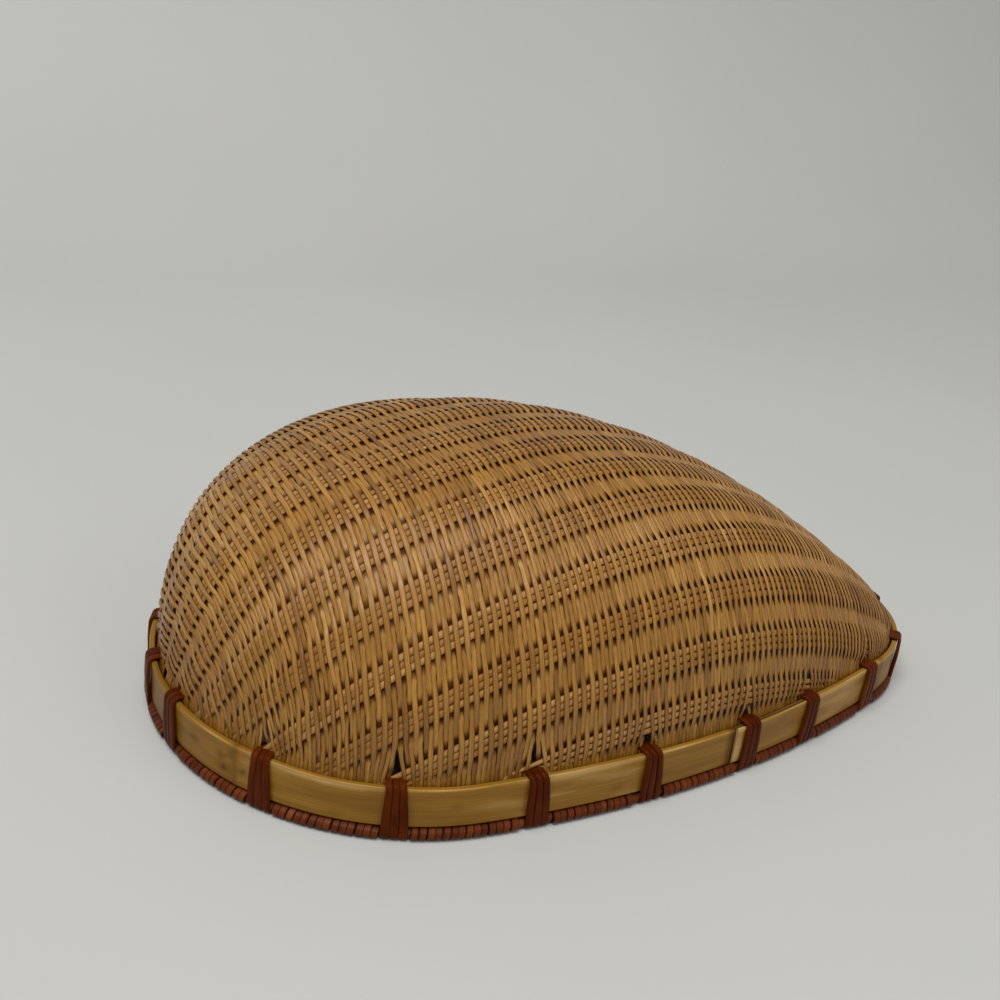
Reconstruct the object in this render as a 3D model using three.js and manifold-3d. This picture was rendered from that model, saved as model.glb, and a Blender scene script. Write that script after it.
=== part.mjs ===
// Teardrop wicker basket standing mouth down: a woven skin over rib bundles, gripped between two
// split hoops, with a wound lip under them and flat-cane lashings round the whole rim.
// Millimetres. +Z is up, +X points to the narrow tip and +Y to the back.

import * as THREE from 'three';
import { mergeVertices } from 'three/addons/utils/BufferGeometryUtils.js';
import Module from 'manifold-3d';

// Rim outline: an egg of four arcs, at the outermost edge of the lip
const wideRadius = 91;
const tipRadius = 54;
const flankRadius = 394;
const circleSpacing = 152; // centre of the wide arc to centre of the tip arc

// Dome of the weave
const crestHeight = 100;
const crestFromWide = 22; // crest ahead of the wide arc's centre
const wideFall = 2.55; // power of the fall from the crest to the wide end
const wideShoulder = 2.2; // fullness of that fall
const tipFall = 1.87;
const tipShoulder = 1.1;
const sideFall = 3; // power of the fall from the crest to the flanks
const sideShoulder = 1.75;
const skinThickness = 1.4; // over a rib

// Ribs, parallel bundles that run from rim to rim and bend to the back on their way to the tip
const ribsInFront = 7; // of the rib next to the crest
const ribsBehind = 7;
const ribGaps = 14.28; // rib spacings in the girth of the dome over its crest
const firstRibShare = -0.136; // rib next to the crest, in spacings from it, front negative
const ribWidth = 6.8;
const ribThickness = 1.4;
const ribSticks = 3; // sticks side by side in a bundle
const stickGroove = 0.5; // depth between the sticks
const bandRise = 0.6; // skin over a rib, above the weave between ribs
const bandSlope = 1.3; // width of each side of that rise
const ribSeat = 0.9; // rib below the skin's smooth inner face, to clear its facets
const leanShare = 0.574; // lean of a rib past its bend, against the fall of the girth to the tip
const bendFromWide = -30; // middle of the bend, from the wide arc's centre
const bendLength = 30;
const ribStep = 16;
const faceSteps = 120;
const pathSteps = 400;

// Rim pieces, stacked inwards from the lip's outer edge
const outerHoopInset = 1.7;
const outerHoopThickness = 2;
const innerHoopThickness = 2;
const hoopTop = 19;
const lapLength = 36;
const lapSlit = 0.45;
const lapProud = 0.2; // lapped end standing out from the hoop's face
const outerLapDistance = -147; // along the rim from the tip, front side negative
const innerLapDistance = 262;
const lipWidth = 8.8;
const lipHeight = 4.5;
const lipRound = 1.6;
const clearance = 0.3;

// Lashings: flat cane, with small shifts from even spacing, as tied by hand
const caneWidth = 2.3;
const caneThickness = 1.1;
const turnPitch = 2.9;
const turns = 3;
const cornerCut = 0.6;
const lashingFloorGap = 0.2;
const lashingShifts = [0, -1.5, -8, -7, -14, -9.5, -6, 1, 6, 11, 0]; // tip to wide end
const slotPeak = 4; // gap where the strands spread above a lashing

// Facets
const tipArcSteps = 8;
const flankArcSteps = 10;
const wideArcSteps = 12;
const domeLevels = 11;
const domeCrowding = 2.2; // crowds the levels towards the rim
const bandSteps = 18; // along the skin's bands, from rim to rim
const bendWeight = 45; // run that counts like a bend of one radian, where a band shares out its steps

const wasm = await Module();
wasm.setup();

// Centres and tangent angles of the arcs; the flank centres lie across the axis
const wideCentre = (wideRadius - tipRadius - circleSpacing) / 2;
const tipCentre = wideCentre + circleSpacing;
const wideReach = flankRadius - wideRadius;
const tipReach = flankRadius - tipRadius;
const flankAhead = (wideReach ** 2 - tipReach ** 2 + circleSpacing ** 2) / (2 * circleSpacing);
const flankCentre = wideCentre + flankAhead;
const flankDepth = Math.sqrt(wideReach ** 2 - flankAhead ** 2);
const tipTangent = Math.atan2(flankDepth, circleSpacing - flankAhead);
const wideTangent = Math.atan2(flankDepth, -flankAhead);
const tipArc = tipTangent * tipRadius;
const flankArc = (wideTangent - tipTangent) * flankRadius;
const wideArc = (Math.PI - wideTangent) * wideRadius;
const halfRim = tipArc + flankArc + wideArc;
const crestX = wideCentre + crestFromWide;

// Stack of insets from the lip's outer edge
const skinInset = outerHoopInset + outerHoopThickness + clearance;
const skinInner = skinInset + skinThickness;
const innerHoopInset = skinInner + clearance;
const innerHoopInner = innerHoopInset + innerHoopThickness;
const ribDepth = skinThickness + ribSeat;
const hoopBottom = lipHeight + clearance;
const lashingTop = hoopTop + clearance + caneThickness;
const ribEndHeight = lashingTop + ribWidth / 2 + clearance;

// Brings a distance along the rim into one lap, from the tip with the back positive
function wrapDistance(distance) {
  const lap = 2 * halfRim;
  return distance - lap * Math.round(distance / lap);
}

function rimAngle(distance) {
  const along = wrapDistance(distance);
  const run = Math.abs(along);
  let angle = run / tipRadius;
  if (run > tipArc + flankArc) {
    angle = wideTangent + (run - tipArc - flankArc) / wideRadius;
  } else if (run > tipArc) {
    angle = tipTangent + (run - tipArc) / flankRadius;
  }
  return along < 0 ? -angle : angle;
}

// Point at a distance along the rim and an inset from its outer edge
function rimPoint(distance, inset, z = 0) {
  const angle = rimAngle(distance);
  const turn = Math.abs(angle);
  const side = angle < 0 ? -1 : 1;
  let centre = new THREE.Vector2(tipCentre, 0);
  let radius = tipRadius;
  if (turn > wideTangent) {
    centre = new THREE.Vector2(wideCentre, 0);
    radius = wideRadius;
  } else if (turn > tipTangent) {
    centre = new THREE.Vector2(flankCentre, -flankDepth);
    radius = flankRadius;
  }
  const x = centre.x + (radius - inset) * Math.cos(turn);
  const y = centre.y + (radius - inset) * Math.sin(turn);
  return new THREE.Vector3(x, side * y, z);
}

// Stations shared by every piece that follows the rim, from the wide end round by the front
function rimStations() {
  const half = [];
  for (let i = 0; i < tipArcSteps; i++) {
    half.push(tipArc * i / tipArcSteps);
  }
  for (let i = 0; i < flankArcSteps; i++) {
    half.push(tipArc + flankArc * i / flankArcSteps);
  }
  for (let i = 0; i <= wideArcSteps; i++) {
    half.push(tipArc + flankArc + wideArc * i / wideArcSteps);
  }
  const front = half.slice(1, -1).reverse().map((distance) => -distance);
  return [...front, ...half];
}

const stations = rimStations();

function halfWidth(x, inset) {
  const wideRim = wideRadius - inset;
  const tipRim = tipRadius - inset;
  if (x < wideCentre + wideRim * Math.cos(wideTangent)) {
    return Math.sqrt(Math.max(wideRim ** 2 - (x - wideCentre) ** 2, 0));
  }
  if (x > tipCentre + tipRim * Math.cos(tipTangent)) {
    return Math.sqrt(Math.max(tipRim ** 2 - (x - tipCentre) ** 2, 0));
  }
  return Math.sqrt((flankRadius - inset) ** 2 - (x - flankCentre) ** 2) - flankDepth;
}

// Height of the dome's face that lies at a depth under its outer one
function domeHeight(x, y, depth) {
  const inset = skinInset + depth;
  const wideRun = (crestX - x) / (crestX - wideCentre + wideRadius - inset);
  const tipRun = (x - crestX) / (tipCentre + tipRadius - inset - crestX);
  const width = halfWidth(x, inset);
  const acrossRun = width > 0 ? Math.min(Math.abs(y) / width, 1) : 1;
  const along = x < crestX
    ? Math.max(1 - wideRun ** wideFall, 0) ** (1 / wideShoulder)
    : Math.max(1 - tipRun ** tipFall, 0) ** (1 / tipShoulder);
  const across = (1 - acrossRun ** sideFall) ** (1 / sideShoulder);
  return hoopTop + (crestHeight - depth - hoopTop) * along * across;
}

// Closed geometry through rings of points, capped at both ends or joined end to end
function sweep(rings, closed) {
  const sides = rings[0].length;
  const positions = rings.flat().flatMap((point) => [point.x, point.y, point.z]);
  const index = [];
  const spans = closed ? rings.length : rings.length - 1;
  for (let i = 0; i < spans; i++) {
    const next = (i + 1) % rings.length;
    for (let j = 0; j < sides; j++) {
      const side = (j + 1) % sides;
      const a = i * sides + j;
      const b = i * sides + side;
      const c = next * sides + side;
      const d = next * sides + j;
      index.push(a, b, c, a, c, d);
    }
  }
  if (!closed) {
    const last = (rings.length - 1) * sides;
    const centre = rings.length * sides;
    for (const ring of [rings[0], rings[rings.length - 1]]) {
      const middle = new THREE.Box3().setFromPoints(ring).getCenter(new THREE.Vector3());
      positions.push(middle.x, middle.y, middle.z);
    }
    for (let j = 0; j < sides; j++) {
      const side = (j + 1) % sides;
      index.push(centre, side, j, centre + 1, last + j, last + side);
    }
  }
  return facingOut(positions, index);
}

// Indexed geometry with its faces turned outwards
function facingOut(positions, index) {
  let volume = 0;
  const corner = (i) => new THREE.Vector3().fromArray(positions, 3 * index[i]);
  for (let i = 0; i < index.length; i += 3) {
    volume += corner(i).dot(corner(i + 1).cross(corner(i + 2)));
  }
  const ordered = volume < 0 ? index.toReversed() : index;
  const geometry = new THREE.BufferGeometry();
  geometry.setAttribute('position', new THREE.Float32BufferAttribute(positions, 3));
  geometry.setIndex(ordered);
  return geometry;
}

function toManifold(geometry) {
  const bare = geometry.clone();
  bare.deleteAttribute('normal');
  bare.deleteAttribute('uv');
  const welded = mergeVertices(bare, 1e-4);
  const vertProperties = new Float32Array(welded.attributes.position.array);
  const corners = [...welded.index.array];
  const kept = corners.filter((corner, i) => {
    const first = i - i % 3;
    return new Set(corners.slice(first, first + 3)).size === 3;
  });
  const triVerts = new Uint32Array(kept);
  return new wasm.Manifold(new wasm.Mesh({ numProp: 3, vertProperties, triVerts }));
}

function toGeometry(manifold) {
  const mesh = manifold.getMesh();
  const geometry = new THREE.BufferGeometry();
  geometry.setAttribute('position', new THREE.BufferAttribute(new Float32Array(mesh.vertProperties), 3));
  geometry.setIndex(new THREE.BufferAttribute(new Uint32Array(mesh.triVerts), 1));
  return geometry;
}

// Lashings: spaced evenly round the rim from the tip, then shifted
function lashingDistances() {
  const last = lashingShifts.length - 1;
  const even = halfRim / last;
  const back = lashingShifts.map((shift, i) => i * even + shift);
  const front = back.slice(1, -1).reverse().map((distance) => -distance);
  return [...back, ...front];
}

const lashings = lashingDistances();

// Gap above the hoops where a lashing passes through the weave
function lashingSlot(distance) {
  const half = turnPitch + caneWidth / 2 + 3 * clearance;
  const shoulder = lashingTop + clearance;
  const shape = new THREE.Shape();
  shape.moveTo(-half, hoopTop - 2 * clearance);
  shape.lineTo(half, hoopTop - 2 * clearance);
  shape.lineTo(half, shoulder);
  shape.lineTo(0, shoulder + slotPeak);
  shape.lineTo(-half, shoulder);
  shape.closePath();
  const depth = 3 * skinThickness;
  const slot = new THREE.ExtrudeGeometry(shape, { depth, bevelEnabled: false });
  const middle = distance - turnPitch / 4;
  const angle = rimAngle(middle);
  const tangent = new THREE.Vector3(-Math.sin(angle), Math.cos(angle), 0);
  const outward = new THREE.Vector3(Math.cos(angle), Math.sin(angle), 0);
  const place = new THREE.Matrix4().makeBasis(tangent, new THREE.Vector3(0, 0, 1), outward);
  place.setPosition(rimPoint(middle, skinInner + skinThickness));
  return slot.applyMatrix4(place);
}

// Line across one side of a face of the dome, from the crest line down to the rim
function faceLine(x, side, depth) {
  const width = halfWidth(x, skinInset + depth);
  const rise = domeHeight(x, 0, depth) - hoopTop;
  const points = [];
  for (let i = 0; i <= faceSteps; i++) {
    const turn = Math.PI / 2 * i / faceSteps;
    const y = side * width * Math.sin(turn) ** (2 / sideFall);
    points.push(new THREE.Vector3(x, y, hoopTop + rise * Math.cos(turn) ** (2 / sideShoulder)));
  }
  return points;
}

function lineLength(points) {
  let length = 0;
  for (let i = 1; i < points.length; i++) {
    length += points[i].distanceTo(points[i - 1]);
  }
  return length;
}

const crestGirth = 2 * lineLength(faceLine(crestX, 1, ribDepth));
const ribSpacing = crestGirth / ribGaps;
const ribLean = leanShare * crestGirth / 2 / (tipCentre + tipRadius - crestX);

// Point of a face at a distance across the dome from the crest line, on the rim at most
function facePoint(x, across, depth) {
  const points = faceLine(x, Math.sign(across), depth);
  let length = 0;
  for (let i = 1; i < points.length; i++) {
    const step = points[i].distanceTo(points[i - 1]);
    if (length + step >= Math.abs(across)) {
      return points[i - 1].lerp(points[i], (Math.abs(across) - length) / step);
    }
    length += step;
  }
  return points[points.length - 1];
}

// Sideways run of the ribs up to a place along the basket
function ribRun(x) {
  return ribLean * bendLength * Math.log(1 + Math.exp((x - wideCentre - bendFromWide) / bendLength));
}

// Line that runs with the ribs over a face, from rim to rim
function facePath(offset, depth) {
  const start = wideCentre - wideRadius + skinInset + depth;
  const end = tipCentre + tipRadius - skinInset - depth;
  const across = (x) => offset + ribRun(x) - ribRun(crestX);
  const within = (x) => lineLength(faceLine(x, 1, depth)) > Math.abs(across(x));
  const rimEnd = (outside, inside) => {
    let far = outside;
    let near = inside;
    for (let i = 0; i < 24; i++) {
      const middle = (far + near) / 2;
      if (within(middle)) {
        near = middle;
      } else {
        far = middle;
      }
    }
    return facePoint(far, across(far), depth);
  };
  const path = [];
  let before = start;
  let wasWithin = false;
  for (let i = 1; i <= pathSteps; i++) {
    const x = (start + end - (end - start) * Math.cos(Math.PI * i / pathSteps)) / 2;
    const isWithin = i < pathSteps && within(x);
    if (isWithin !== wasWithin) {
      path.push(isWithin ? rimEnd(before, x) : rimEnd(x, before));
    }
    if (isWithin) {
      path.push(facePoint(x, across(x), depth));
    }
    before = x;
    wasWithin = isWithin;
  }
  return path;
}

// Points along a path, closer together where it bends
function spreadPoints(path) {
  const count = 6; // points each way that give the bend
  const last = path.length - 1;
  const measure = [0];
  for (let i = 1; i <= last; i++) {
    const arrive = path[i].clone().sub(path[Math.max(i - count, 0)]);
    const leave = path[Math.min(i + count, last)].clone().sub(path[i]);
    const turn = i < last ? arrive.angleTo(leave) / count : 0;
    measure.push(measure[i - 1] + path[i].distanceTo(path[i - 1]) + bendWeight * turn);
  }
  const points = [];
  let next = 1;
  for (let i = 0; i <= bandSteps; i++) {
    const target = measure[last] * i / bandSteps;
    while (next < last && measure[next] < target) {
      next += 1;
    }
    const share = (target - measure[next - 1]) / (measure[next] - measure[next - 1]);
    points.push(path[next - 1].clone().lerp(path[next], share));
  }
  return points;
}

function evenCurve(path) {
  const curve = new THREE.CatmullRomCurve3(path);
  curve.arcLengthDivisions = 4 * path.length;
  return curve;
}

// Distance along the rim of a point on an inset of its outline
function rimDistance(point, inset) {
  const reach = Math.abs(point.y);
  const side = point.y < 0 ? -1 : 1;
  if (point.x < wideCentre + (wideRadius - inset) * Math.cos(wideTangent)) {
    const turn = Math.atan2(reach, point.x - wideCentre) - wideTangent;
    return side * (tipArc + flankArc + turn * wideRadius);
  }
  if (point.x > tipCentre + (tipRadius - inset) * Math.cos(tipTangent)) {
    return side * Math.atan2(reach, point.x - tipCentre) * tipRadius;
  }
  const turn = Math.atan2(reach + flankDepth, point.x - flankCentre) - tipTangent;
  return side * (tipArc + turn * flankRadius);
}

// Stretch of the rim that closes the face beyond its last line
function rimStretch(line) {
  const inset = skinInset + bandRise;
  const from = rimDistance(line[0], inset);
  const to = rimDistance(line[line.length - 1], inset);
  return line.map((point, i) => rimPoint(from + (to - from) * i / bandSteps, inset, hoopTop));
}

function ribOffset(number) {
  return (firstRibShare + number) * ribSpacing;
}

// Lines of the skin's outer face, front to back: a raised band over every rib, weave between
function skinLines() {
  const top = ribWidth / 2;
  const foot = top + bandSlope;
  const places = [[ribOffset(-ribsInFront) - ribSpacing / 2, bandRise]];
  for (let i = -ribsInFront; i <= ribsBehind; i++) {
    const offset = ribOffset(i);
    places.push([offset - foot, bandRise], [offset - top, 0], [offset + top, 0]);
    places.push([offset + foot, bandRise], [offset + ribSpacing / 2, bandRise]);
  }
  const paths = places.map(([offset, depth]) => facePath(offset, depth));
  const lines = paths.filter((path) => path.length > 4).map(spreadPoints);
  return [rimStretch(lines[0]), ...lines, rimStretch(lines[lines.length - 1])];
}

// Solid from that face down to the hoops' lower edge
function outerDome() {
  const lines = skinLines();
  const row = bandSteps + 1;
  const last = lines.length - 1;
  const positions = lines.flat().flatMap((point) => [point.x, point.y, point.z]);
  const index = [];
  for (let k = 0; k < last; k++) {
    for (let i = 0; i < bandSteps; i++) {
      const a = k * row + i;
      const d = a + row;
      index.push(a, a + 1, d + 1, a, d + 1, d);
    }
  }
  const ends = lines.map((line) => line[bandSteps]);
  const starts = lines.map((line) => line[0]);
  const edge = [...lines[0], ...ends, ...lines[last].toReversed(), ...starts.toReversed()];
  const base = positions.length / 3;
  positions.push(crestX, 0, hoopBottom);
  edge.forEach((point, i) => {
    positions.push(point.x, point.y, point.z, point.x, point.y, hoopBottom);
    const top = base + 1 + 2 * i;
    const nextTop = base + 1 + 2 * ((i + 1) % edge.length);
    index.push(top + 1, nextTop + 1, nextTop, top + 1, nextTop, top, base, nextTop + 1, top + 1);
  });
  return facingOut(positions, index);
}

// Solid of the space under the skin, a little past its lower edge
function innerDome() {
  const rings = [];
  for (let level = 1; level <= domeLevels; level++) {
    const spread = 1 - (1 - level / domeLevels) ** domeCrowding;
    rings.push(stations.map((distance) => {
      const edge = rimPoint(distance, skinInner);
      const x = crestX + spread * (edge.x - crestX);
      const y = spread * edge.y;
      const z = level < domeLevels ? domeHeight(x, y, skinThickness) : hoopTop;
      return new THREE.Vector3(x, y, z);
    }));
  }
  rings.push(stations.map((distance) => rimPoint(distance, skinInner, hoopBottom - 1)));
  const count = stations.length;
  const positions = rings.flat().flatMap((point) => [point.x, point.y, point.z]);
  const crest = rings.length * count;
  positions.push(crestX, 0, crestHeight - skinThickness, crestX, 0, hoopBottom - 1);
  const index = [];
  for (let i = 0; i < count; i++) {
    const next = (i + 1) % count;
    for (let ring = 0; ring < rings.length - 1; ring++) {
      const a = ring * count + i;
      const b = ring * count + next;
      index.push(a, a + count, b, b, a + count, b + count);
    }
    const last = (rings.length - 1) * count;
    index.push(crest, i, next, crest + 1, last + next, last + i);
  }
  return facingOut(positions, index);
}

function wovenSkin() {
  let skin = toManifold(outerDome()).subtract(toManifold(innerDome()));
  for (const distance of lashings) {
    skin = skin.subtract(toManifold(lashingSlot(distance)));
  }
  return toGeometry(skin);
}

// Section of a bundle as [across, below]: flat against the skin, its sticks told apart inside
function bundleSection() {
  const stick = ribWidth / ribSticks;
  const section = [[-ribWidth / 2, 0], [ribWidth / 2, 0], [ribWidth / 2, ribThickness - stickGroove]];
  for (let i = ribSticks - 1; i >= 0; i--) {
    const middle = (i + 0.5) * stick - ribWidth / 2;
    section.push([middle, ribThickness], [middle - stick / 2, ribThickness - stickGroove]);
  }
  return section;
}

// Bundle along the inside of the skin, ending clear of the lashings at both ends
function rib(offset) {
  const path = facePath(offset, ribDepth).filter((point) => point.z > ribEndHeight);
  const curve = evenCurve(path);
  const steps = Math.ceil(curve.getLength() / ribStep);
  const section = bundleSection();
  const rings = [];
  for (let i = 0; i <= steps; i++) {
    const middle = curve.getPointAt(i / steps);
    const tangent = curve.getTangentAt(i / steps);
    const normal = domeNormal(middle.x, middle.y);
    const across = normal.clone().cross(tangent).normalize();
    rings.push(section.map(([wide, below]) => {
      const point = middle.clone().addScaledVector(across, wide);
      return point.addScaledVector(normal, -below);
    }));
  }
  return sweep(rings, false);
}

function domeNormal(x, y) {
  const step = 0.01;
  const height = (u, v) => domeHeight(u, v, ribDepth);
  const slopeX = (height(x + step, y) - height(x - step, y)) / (2 * step);
  const slopeY = (height(x, y + step) - height(x, y - step)) / (2 * step);
  return new THREE.Vector3(-slopeX, -slopeY, 1).normalize();
}

// Hoop bent from one strip, each end pared to half its thickness and lapped on the other
function hoop(inset, thickness, lapDistance, proud) {
  const lap = 2 * halfRim;
  const inner = inset + thickness;
  const middle = inset + thickness / 2;
  const trace = (from, to, depth) => {
    const between = [];
    for (const station of [...stations, ...stations.map((distance) => distance + lap)]) {
      if (station > from + 1 && station < to - 1) {
        between.push(station);
      }
    }
    return [from, ...between, to].map((distance) => rimPoint(distance, depth));
  };
  const from = lapDistance;
  const face = trace(from + lapLength / 4, from + lap - lapSlit, inset);
  const end = trace(from, from + lapLength / 4, inset - proud).slice(0, -1);
  const tongue = trace(from + lap - lapSlit, from + lap + lapLength, middle + lapSlit / 2);
  const inside = trace(from + lapLength + lapSlit, from + lap + lapLength, inner).reverse();
  const under = trace(from, from + lapLength + lapSlit, middle - lapSlit / 2).reverse();
  const outline = [...end, ...face, ...tongue, ...inside, ...under];
  const shape = new THREE.Shape(outline.map((point) => new THREE.Vector2(point.x, point.y)));
  const strip = new THREE.ExtrudeGeometry(shape, { depth: hoopTop - hoopBottom, bevelEnabled: false });
  return strip.translate(0, 0, hoopBottom);
}

// Eight-sided section of the lip between two insets and two heights
function lipSection(distance, outer, inner, bottom, round) {
  const corners = [
    [outer + round, bottom], [inner - round, bottom],
    [inner, bottom + round], [inner, lipHeight - round],
    [inner - round, lipHeight], [outer + round, lipHeight],
    [outer, lipHeight - round], [outer, bottom + round],
  ];
  return corners.map(([inset, z]) => rimPoint(distance, inset, z));
}

// Lip with its flat underside on the table, thinner where the lashings take the place of its winding
function lip() {
  const neckHalf = 1.5 * turnPitch + caneWidth / 2 + clearance;
  const shoulder = neckHalf + 2 * clearance;
  const neckBottom = lashingFloorGap + caneThickness + clearance;
  const marks = [];
  for (const distance of stations) {
    const free = lashings.every((place) => Math.abs(wrapDistance(distance - place)) > shoulder + 1);
    if (free) {
      marks.push({ distance, neck: false });
    }
  }
  for (const place of lashings) {
    marks.push({ distance: wrapDistance(place - shoulder), neck: false });
    marks.push({ distance: wrapDistance(place - neckHalf), neck: true });
    marks.push({ distance: wrapDistance(place + neckHalf), neck: true });
    marks.push({ distance: wrapDistance(place + shoulder), neck: false });
  }
  marks.sort((a, b) => a.distance - b.distance);
  const rings = marks.map(({ distance, neck }) => (neck
    ? lipSection(distance, outerHoopInset - lapProud, innerHoopInner, neckBottom, clearance)
    : lipSection(distance, 0, lipWidth, 0, lipRound)));
  return sweep(rings, true);
}

// Path of a lashing as [along the rim, inset, height], up the inside, over the hoops and down
function lashingPath() {
  const outer = outerHoopInset - lapProud - clearance - caneThickness / 2;
  const inner = innerHoopInner + clearance + caneThickness / 2;
  const top = lashingTop - caneThickness / 2;
  const bottom = lashingFloorGap + caneThickness / 2;
  const middle = (top + bottom) / 2;
  const path = [[-turns * turnPitch / 2, inner, middle]];
  for (let turn = 0; turn < turns; turn++) {
    const rise = (turn - turns / 2) * turnPitch;
    const fall = rise + turnPitch / 2;
    const next = rise + turnPitch;
    path.push([rise, inner, top - cornerCut], [rise, inner - cornerCut, top]);
    path.push([fall, outer + cornerCut, top], [fall, outer, top - cornerCut]);
    path.push([fall, outer, bottom + cornerCut], [fall, outer + cornerCut, bottom]);
    path.push([next, inner - cornerCut, bottom], [next, inner, bottom + cornerCut]);
  }
  path.push([turns * turnPitch / 2, inner, middle]);
  return path;
}

// Heading between two places of a lashing's path, in the plane across the rim
function headingAcross(from, to) {
  return new THREE.Vector2(to[1] - from[1], to[2] - from[2]).normalize();
}

// Flat cane of six sides along that path, bent to the rim's curve
function lashingRings(distance) {
  const path = lashingPath();
  const last = path.length - 1;
  const edge = caneWidth / 2 - caneThickness / 3;
  const section = [
    [caneWidth / 2, 0], [edge, caneThickness / 2], [-edge, caneThickness / 2],
    [-caneWidth / 2, 0], [-edge, -caneThickness / 2], [edge, -caneThickness / 2],
  ];
  return path.map(([along, inset, z], i) => {
    const arrive = headingAcross(path[Math.max(i - 1, 0)], path[Math.max(i, 1)]);
    const leave = headingAcross(path[Math.min(i, last - 1)], path[Math.min(i + 1, last)]);
    const heading = arrive.clone().add(leave).normalize();
    const miter = 1 / heading.dot(leave);
    return section.map(([wide, thick]) => {
      const lift = thick * miter;
      return rimPoint(distance + along + wide, inset - heading.y * lift, z + heading.x * lift);
    });
  });
}

// Least distance between points of a lashing that are at least half a turn apart
function leastTurnGap(rings) {
  const halfTurn = 4;
  let least = Infinity;
  for (let i = 0; i < rings.length; i++) {
    for (let j = i + halfTurn; j < rings.length; j++) {
      for (const a of rings[i]) {
        for (const b of rings[j]) {
          least = Math.min(least, a.distanceTo(b));
        }
      }
    }
  }
  return least;
}

const colours = { weave: 0xb88a4e, ribs: 0xa87a42, hoops: 0xb99a5c, cane: 0x6e3a24 };
const basket = new THREE.Group();
basket.name = 'teardrop_basket';

function addPiece(name, geometry, color, roughness) {
  const material = new THREE.MeshStandardMaterial({ color, roughness, metalness: 0 });
  geometry.computeVertexNormals();
  const mesh = new THREE.Mesh(geometry, material);
  mesh.name = name;
  basket.add(mesh);
}

addPiece('woven_skin', wovenSkin(), colours.weave, 0.6);
for (let i = -ribsInFront; i <= ribsBehind; i++) {
  const number = String(i + ribsInFront + 1).padStart(2, '0');
  addPiece(`rib_${number}`, rib(ribOffset(i)), colours.ribs, 0.65);
}
const outerHoop = hoop(outerHoopInset, outerHoopThickness, outerLapDistance, lapProud);
const innerHoop = hoop(innerHoopInset, innerHoopThickness, innerLapDistance, 0);
addPiece('outer_hoop', outerHoop, colours.hoops, 0.55);
addPiece('inner_hoop', innerHoop, colours.hoops, 0.55);
addPiece('lip', lip(), colours.cane, 0.45);

let leastGap = Infinity;
lashings.forEach((distance, i) => {
  const rings = lashingRings(distance);
  leastGap = Math.min(leastGap, leastTurnGap(rings));
  addPiece(`lashing_${String(i + 1).padStart(2, '0')}`, sweep(rings, false), colours.cane, 0.45);
});
console.log(`least gap between turns of a lashing: ${leastGap.toFixed(2)} mm`);

export default basket;
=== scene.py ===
import math
import bpy
import numpy as np
from mathutils import Matrix


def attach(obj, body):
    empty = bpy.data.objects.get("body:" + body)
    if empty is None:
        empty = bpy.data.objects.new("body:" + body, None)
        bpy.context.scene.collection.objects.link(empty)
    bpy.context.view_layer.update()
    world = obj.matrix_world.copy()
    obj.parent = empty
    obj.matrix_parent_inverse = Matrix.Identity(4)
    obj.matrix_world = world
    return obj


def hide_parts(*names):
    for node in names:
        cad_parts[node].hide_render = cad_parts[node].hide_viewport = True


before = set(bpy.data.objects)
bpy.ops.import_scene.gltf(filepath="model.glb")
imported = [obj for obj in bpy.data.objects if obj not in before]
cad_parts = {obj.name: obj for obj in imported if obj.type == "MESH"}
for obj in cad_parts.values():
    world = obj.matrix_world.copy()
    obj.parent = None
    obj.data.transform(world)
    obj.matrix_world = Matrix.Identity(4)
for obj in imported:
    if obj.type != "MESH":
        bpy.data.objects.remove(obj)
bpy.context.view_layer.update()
rng = np.random.default_rng(11)

# outline and dome of the basket in millimetres, as in the CAD source
rim = {"wideRadius": 91.0, "tipRadius": 54.0, "flankRadius": 394.0, "circleSpacing": 152.0, "hoopTop": 19.0}
dome = {"crestHeight": 100.0, "crestFromWide": 22.0, "wideFall": 2.55, "wideShoulder": 2.2,
        "tipFall": 1.87, "tipShoulder": 1.1, "sideFall": 3.0, "sideShoulder": 1.75,
        "inset": 5.15, "drop": 1.15,   # middle of the weave, inside the lip's edge and below the crest
        "slopeStep": 0.05, "leastSize": 0.4, "rimBand": 0.3, "flat": 1e-7}

wideCentre = (rim["wideRadius"] - rim["tipRadius"] - rim["circleSpacing"]) / 2
tipCentre = wideCentre + rim["circleSpacing"]
wideReach = rim["flankRadius"] - rim["wideRadius"]
tipReach = rim["flankRadius"] - rim["tipRadius"]
flankAhead = (wideReach**2 - tipReach**2 + rim["circleSpacing"]**2) / (2 * rim["circleSpacing"])
flankCentre = wideCentre + flankAhead
flankDepth = math.sqrt(wideReach**2 - flankAhead**2)
tipTangent = math.atan2(flankDepth, rim["circleSpacing"] - flankAhead)
wideTangent = math.atan2(flankDepth, -flankAhead)
tipArc = tipTangent * rim["tipRadius"]
flankArc = (wideTangent - tipTangent) * rim["flankRadius"]
halfRim = tipArc + flankArc + (math.pi - wideTangent) * rim["wideRadius"]
crestX = wideCentre + dome["crestFromWide"]
hoopTop = rim["hoopTop"]


# distances round the rim start at the tip, and are negative along the front
def wrapDistance(distance):
    return distance - 2 * halfRim * np.round(distance / (2 * halfRim))


def rimAngle(distance):
    along = wrapDistance(np.asarray(distance, float))
    run = np.abs(along)
    wide = wideTangent + (run - tipArc - flankArc) / rim["wideRadius"]
    flank = tipTangent + (run - tipArc) / rim["flankRadius"]
    angle = np.where(run > tipArc + flankArc, wide, np.where(run > tipArc, flank, run / rim["tipRadius"]))
    return np.where(along < 0, -angle, angle)


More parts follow.
